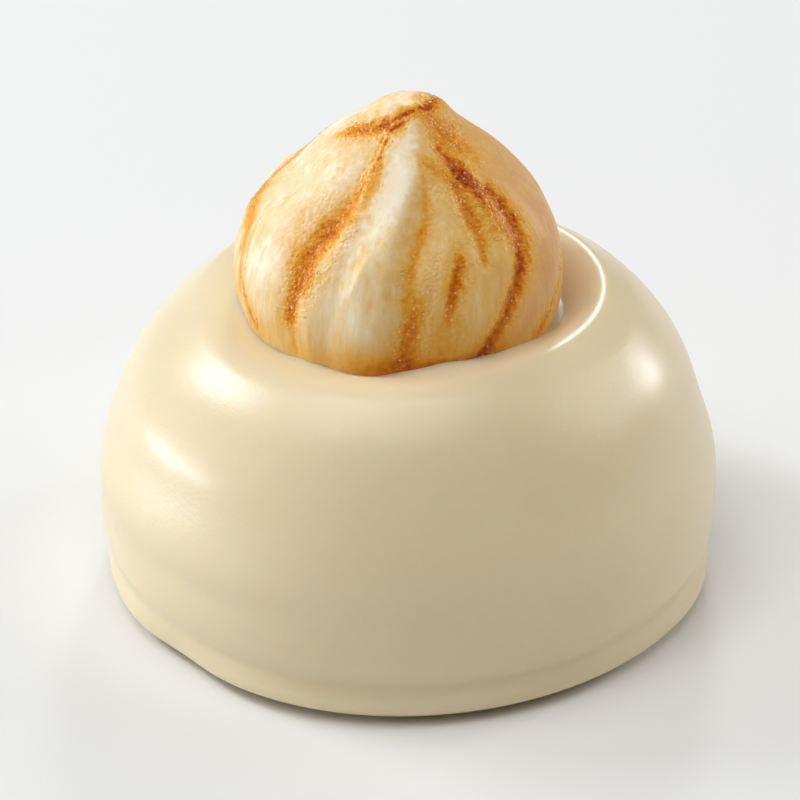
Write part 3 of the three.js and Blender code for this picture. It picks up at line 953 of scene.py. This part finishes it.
def flesh_colour(tree, place, strands):
    """Waxy flesh, cream on one side and tan on the other, with paler and browner fibres."""
    tan = add_node(tree, "ShaderNodeAttribute", {"attribute_name": "tan"}).outputs["Fac"]
    patches = add_node(tree, "ShaderNodeTexNoise", Vector=place, Scale=per_mm(PATCH_SIZE),
                       Detail=3.0).outputs["Fac"]
    fibre_shift = add_node(tree, "ShaderNodeMapRange", Value=strands, From_Min=NOISE_LOW, From_Max=NOISE_HIGH,
                           To_Min=-STRAND_SHIFT, To_Max=STRAND_SHIFT).outputs["Result"]
    patch_shift = add_node(tree, "ShaderNodeMapRange", Value=patches, From_Min=NOISE_LOW, From_Max=NOISE_HIGH,
                           To_Min=-PATCH_SHIFT, To_Max=PATCH_SHIFT).outputs["Result"]
    shift = add_node(tree, "ShaderNodeMath", {"operation": "ADD"}, i0=fibre_shift, i1=patch_shift).outputs[0]
    tone = add_node(tree, "ShaderNodeMath", {"operation": "ADD", "use_clamp": True}, i0=tan,
                    i1=shift).outputs[0]
    return add_node(tree, "ShaderNodeValToRGB", Fac=tone, stops=FLESH_COLOURS).outputs["Color"]


def roasted_and_shaded_colour(tree, place, strands, flesh):
    """The flesh with its golden to red-brown roasting, uneven between fibres and speckled.
    Its browns also draw the painted shade where the kernel sinks into the coating.
    """
    # this attribute holds the roast marks and also the painted shade where the kernel sinks into the coating
    roast_and_shade = add_node(tree, "ShaderNodeAttribute", {"attribute_name": "roast_and_shade"}).outputs["Fac"]
    mottle = add_node(tree, "ShaderNodeTexNoise", Vector=place, Scale=per_mm(MOTTLE_SIZE), Detail=3.0,
                      Roughness=0.6).outputs["Fac"]
    uneven = add_node(tree, "ShaderNodeMapRange", Value=strands, From_Min=NOISE_LOW, From_Max=NOISE_HIGH,
                      To_Min=0.76, To_Max=1.10).outputs["Result"]
    speckled = add_node(tree, "ShaderNodeMapRange", Value=mottle, From_Min=NOISE_LOW, From_Max=NOISE_HIGH,
                        To_Min=0.76, To_Max=1.14).outputs["Result"]
    product = add_node(tree, "ShaderNodeMath", {"operation": "MULTIPLY"}, i0=uneven, i1=speckled).outputs[0]
    amount = add_node(tree, "ShaderNodeMath", {"operation": "MULTIPLY", "use_clamp": True},
                      i0=roast_and_shade, i1=product).outputs[0]
    brown = add_node(tree, "ShaderNodeValToRGB", Fac=amount, stops=ROAST_AND_SHADE_COLOURS).outputs["Color"]
    cover = add_node(tree, "ShaderNodeMapRange", Value=amount, From_Min=0.02, From_Max=0.32, To_Min=0.0,
                     To_Max=1.0).outputs["Result"]
    return add_node(tree, "ShaderNodeMix", {"data_type": "RGBA"}, i0=cover, i6=flesh, i7=brown).outputs[2]


def with_painted_glints(tree, place, grainy, stained):
    """The colour with painted glints: light flecks on the blister tops, painted highlights that make the grain
    sparkle.
    """
    specks = add_node(tree, "ShaderNodeTexVoronoi", Vector=place, Scale=per_mm(PAINTED_GLINT_SIZE)).outputs
    near = add_node(tree, "ShaderNodeMapRange", Value=specks["Distance"], From_Min=0.16, From_Max=0.34,
                    To_Min=1.0, To_Max=0.0).outputs["Result"]
    # only some of the cells have a painted glint
    lot = add_node(tree, "ShaderNodeSeparateColor", Color=specks["Color"]).outputs["Red"]
    chosen = add_node(tree, "ShaderNodeMapRange", Value=lot, From_Min=0.45, From_Max=0.75, To_Min=0.0,
                      To_Max=0.62).outputs["Result"]
    painted_glint = add_node(tree, "ShaderNodeMath", {"operation": "MULTIPLY"}, i0=near, i1=chosen).outputs[0]
    shown = add_node(tree, "ShaderNodeMath", {"operation": "MULTIPLY", "use_clamp": True}, i0=painted_glint,
                     i1=grainy).outputs[0]
    return add_node(tree, "ShaderNodeMix", {"data_type": "RGBA"}, i0=shown, i6=stained,
                    i7=linear(PAINTED_GLINT_COLOUR)).outputs[2]


def blistered_normal(tree, place, strands, grainy):
    """Tiny blisters where the skin is roasted, under fine lengthwise strands."""
    cells = add_node(tree, "ShaderNodeTexVoronoi", {"feature": "SMOOTH_F1"}, Vector=place,
                     Scale=per_mm(BLISTER_SIZE), Smoothness=0.3).outputs["Distance"]
    where = add_node(tree, "ShaderNodeMapRange", Value=grainy, From_Min=0.0, From_Max=GRAIN_FULL, To_Min=0.15,
                     To_Max=1.0).outputs["Result"]
    blisters = add_node(tree, "ShaderNodeMath", {"operation": "MULTIPLY"}, i0=cells, i1=where).outputs[0]
    low = add_node(tree, "ShaderNodeBump", {"invert": True}, Strength=1.0, Distance=BLISTER_DEPTH * MM,
                   Height=blisters).outputs["Normal"]
    return add_node(tree, "ShaderNodeBump", Strength=0.5, Distance=STRAND_DEPTH * MM, Height=strands,
                    Normal=low).outputs["Normal"]


def roasted_hazelnut(name, depth):
    """Skinned, dry-roasted hazelnut: waxy cream flesh, oily amber to red-brown marks with tiny blisters.

    Depth is how far light sinks in, in millimetres. The blisters are too small to let any in.
    """
    material = new_material(name)
    tree = material.node_tree
    place = add_node(tree, "ShaderNodeTexCoord").outputs["Object"]
    grain = add_node(tree, "ShaderNodeAttribute", {"attribute_name": "grain"}).outputs["Vector"]
    grainy = add_node(tree, "ShaderNodeAttribute", {"attribute_name": "grainy"}).outputs["Fac"]
    strands = add_node(tree, "ShaderNodeTexNoise", Vector=grain, Scale=per_mm(STRAND_SIZE), Detail=4.0,
                       Roughness=0.6).outputs["Fac"]
    stained = roasted_and_shaded_colour(tree, place, strands, flesh_colour(tree, place, strands))
    colour = with_painted_glints(tree, place, grainy, stained)
    bump = blistered_normal(tree, place, strands, grainy)
    rough = add_node(tree, "ShaderNodeMapRange", Value=grainy, From_Min=0.0, From_Max=GRAIN_FULL, To_Min=0.42,
                     To_Max=0.29).outputs["Result"]
    skin = add_node(tree, "ShaderNodeBsdfPrincipled", Base_Color=colour, Roughness=rough, Normal=bump,
                    IOR=1.40, Specular_IOR_Level=0.3, Subsurface_Weight=0.25 if depth else 0.0,
                    Subsurface_Radius=(1.0, 0.5, 0.2), Subsurface_Scale=depth * MM)
    add_node(tree, "ShaderNodeOutputMaterial", Surface=skin.outputs["BSDF"])
    return material


def pale_floor():
    """A matt white studio floor."""
    material = new_material("matt_white_paper")
    tree = material.node_tree
    paper = add_node(tree, "ShaderNodeBsdfPrincipled", Base_Color=linear(FLOOR_COLOUR), Roughness=0.9)
    add_node(tree, "ShaderNodeOutputMaterial", Surface=paper.outputs["BSDF"])
    return material


# Blisters on the roasted skin, scattered by Geometry Nodes

# Their closest spacing, most to a square metre, smallest and largest half width, height by the half width, and
# depth that a dome is sunk to, by its height
BLISTER_SIZES = {
    "Spacing": 0.12 * MM,
    "Thickest": 45 / MM ** 2,
    "Smallest": 0.045 * MM,
    "Largest": 0.10 * MM,
    "Flatness": 0.55,
    "Sunk": 0.45,
}
# They come on where the painted value is past the first of these, and stand thickest from the second
BLISTERS_FROM = 0.15
BLISTERS_FULL = 0.85
DOME_SEGMENTS = 8
DOME_RINGS = 4


def blister_tree():
    """Small flattened domes, thickest where the skin is roasted, each laid flat on the surface."""
    tree = bpy.data.node_groups.new("scattered_blisters", "GeometryNodeTree")
    kinds = {"Geometry": "NodeSocketGeometry"}
    kinds.update({name: "NodeSocketFloat" for name in BLISTER_SIZES})
    kinds.update({"Seed": "NodeSocketInt", "Material": "NodeSocketMaterial"})
    inputs = {}
    for name, kind in kinds.items():
        inputs[name] = tree.interface.new_socket(name, in_out="INPUT", socket_type=kind).identifier
    tree.interface.new_socket("Geometry", in_out="OUTPUT", socket_type="NodeSocketGeometry")
    given = tree.nodes.new("NodeGroupInput").outputs
    where = add_node(tree, "GeometryNodeInputNamedAttribute", {"data_type": "FLOAT"}, Name="blisters")
    shown = add_node(tree, "ShaderNodeMapRange", Value=where.outputs[0], From_Min=BLISTERS_FROM,
                     From_Max=BLISTERS_FULL)
    points = add_node(tree, "GeometryNodeDistributePointsOnFaces", {"distribute_method": "POISSON"},
                      Mesh=given["Geometry"], Distance_Min=given["Spacing"], Density_Max=given["Thickest"],
                      Density_Factor=shown.outputs[0], Seed=given["Seed"])
    dome = add_node(tree, "GeometryNodeMeshUVSphere", Segments=DOME_SEGMENTS, Rings=DOME_RINGS, Radius=1.0)
    depth = add_node(tree, "ShaderNodeMath", {"operation": "MULTIPLY"}, i0=given["Sunk"], i1=-1.0)
    lowered = add_node(tree, "ShaderNodeCombineXYZ", Z=depth.outputs[0])
    cap = add_node(tree, "GeometryNodeTransform", Geometry=dome.outputs["Mesh"],
                   Translation=lowered.outputs[0])
    smooth = add_node(tree, "GeometryNodeSetShadeSmooth", Geometry=cap.outputs["Geometry"])
    size = add_node(tree, "FunctionNodeRandomValue", {"data_type": "FLOAT"}, i2=given["Smallest"],
                    i3=given["Largest"], Seed=given["Seed"])
    height = add_node(tree, "ShaderNodeMath", {"operation": "MULTIPLY"}, i0=size.outputs[1],
                      i1=given["Flatness"])
    scale = add_node(tree, "ShaderNodeCombineXYZ", X=size.outputs[1], Y=size.outputs[1],
                     Z=height.outputs[0])
    placed = add_node(tree, "GeometryNodeInstanceOnPoints", Points=points.outputs["Points"],
                      Instance=smooth.outputs["Geometry"], Rotation=points.outputs["Rotation"],
                      Scale=scale.outputs["Vector"])
    real = add_node(tree, "GeometryNodeRealizeInstances", Geometry=placed.outputs["Instances"])
    done = add_node(tree, "GeometryNodeSetMaterial", Geometry=real.outputs["Geometry"],
                    Material=given["Material"])
    add_node(tree, "NodeGroupOutput", Geometry=done.outputs["Geometry"])
    return tree, inputs


def make_blisters(kernel, material):
    """The blisters as one plain mesh on the kernel."""
    tree, inputs = blister_tree()
    modifier = kernel.modifiers.new("blisters", "NODES")
    modifier.node_group = tree
    for name, value in {**BLISTER_SIZES, "Seed": SEED, "Material": material}.items():
        modifier[inputs[name]] = value
    ready = kernel.evaluated_get(bpy.context.evaluated_depsgraph_get())
    mesh = bpy.data.meshes.new_from_object(ready)
    kernel.modifiers.remove(modifier)
    return show("roast_blisters", mesh)


# Stage, lights and camera

def make_floor():
    half = FLOOR_HALF * MM
    mesh = bpy.data.meshes.new("floor")
    corners = [(-half, -half, 0), (half, -half, 0), (half, half, 0), (-half, half, 0)]
    mesh.from_pydata(corners, [], [(0, 1, 2, 3)])
    floor = show("studio_floor", mesh)
    floor.data.materials.append(pale_floor())
    return floor


def direction_to(azimuth, elevation):
    a, e = math.radians(azimuth), math.radians(elevation)
    return Vector((math.cos(a) * math.cos(e), math.sin(a) * math.cos(e), math.sin(e)))


def soft_light(name, azimuth, elevation, distance, width, height, watts, slant, colour):
    """A softbox that looks at the praline. Distances and sizes in millimetres, angles in degrees."""
    data = bpy.data.lights.new(name, "AREA")
    data.shape = "RECTANGLE"
    data.size = width * MM
    data.size_y = height * MM
    data.energy = watts
    data.color = colour
    light = bpy.data.objects.new(name, data)
    away = direction_to(azimuth, elevation)
    light.location = away * distance * MM + Vector((0, 0, LIGHT_AIM_HEIGHT * MM))
    light.rotation_mode = "QUATERNION"
    light.rotation_quaternion = away.to_track_quat("Z", "Y") @ Quaternion((0, 0, 1), math.radians(slant))
    bpy.context.scene.collection.objects.link(light)


def make_lights():
    for softbox in SOFTBOXES:
        soft_light(*softbox)
    world = bpy.data.worlds.new("studio_air")
    world.use_nodes = True
    air = world.node_tree.nodes["Background"]
    air.inputs["Color"].default_value = (*NEUTRAL, 1.0)
    air.inputs["Strength"].default_value = AIR_STRENGTH
    bpy.context.scene.world = world


def make_camera():
    data = bpy.data.cameras.new("photo_camera")
    data.sensor_width = SENSOR_WIDTH
    data.lens = PIXELS_PER_MM * CAMERA_DISTANCE * SENSOR_WIDTH / PICTURE_WIDTH
    camera = bpy.data.objects.new("photo_camera", data)
    e = math.radians(CAMERA_ELEVATION)
    camera.location = Vector((CAMERA_SIDE, -CAMERA_DISTANCE * math.cos(e),
                              CAMERA_AIM_HEIGHT + CAMERA_DISTANCE * math.sin(e))) * MM
    camera.rotation_euler = (math.pi / 2 - e, 0, 0)
    bpy.context.scene.collection.objects.link(camera)
    bpy.context.scene.camera = camera


def dress(piece, material, node):
    piece.data.materials.append(material)
    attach(piece, "root")
    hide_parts(node)


make_camera()
dress(make_coating(), white_chocolate(), "coating")
kernel = make_kernel()
roasted = roasted_hazelnut("dry_roasted_hazelnut", depth=0.9)
blisters = make_blisters(kernel, roasted_hazelnut("roast_blistered_hazelnut", depth=0.0))
dress(kernel, roasted, "hazelnut")
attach(blisters, "root")
make_floor()
make_lights()
bpy.context.scene.view_settings.view_transform = "Standard"
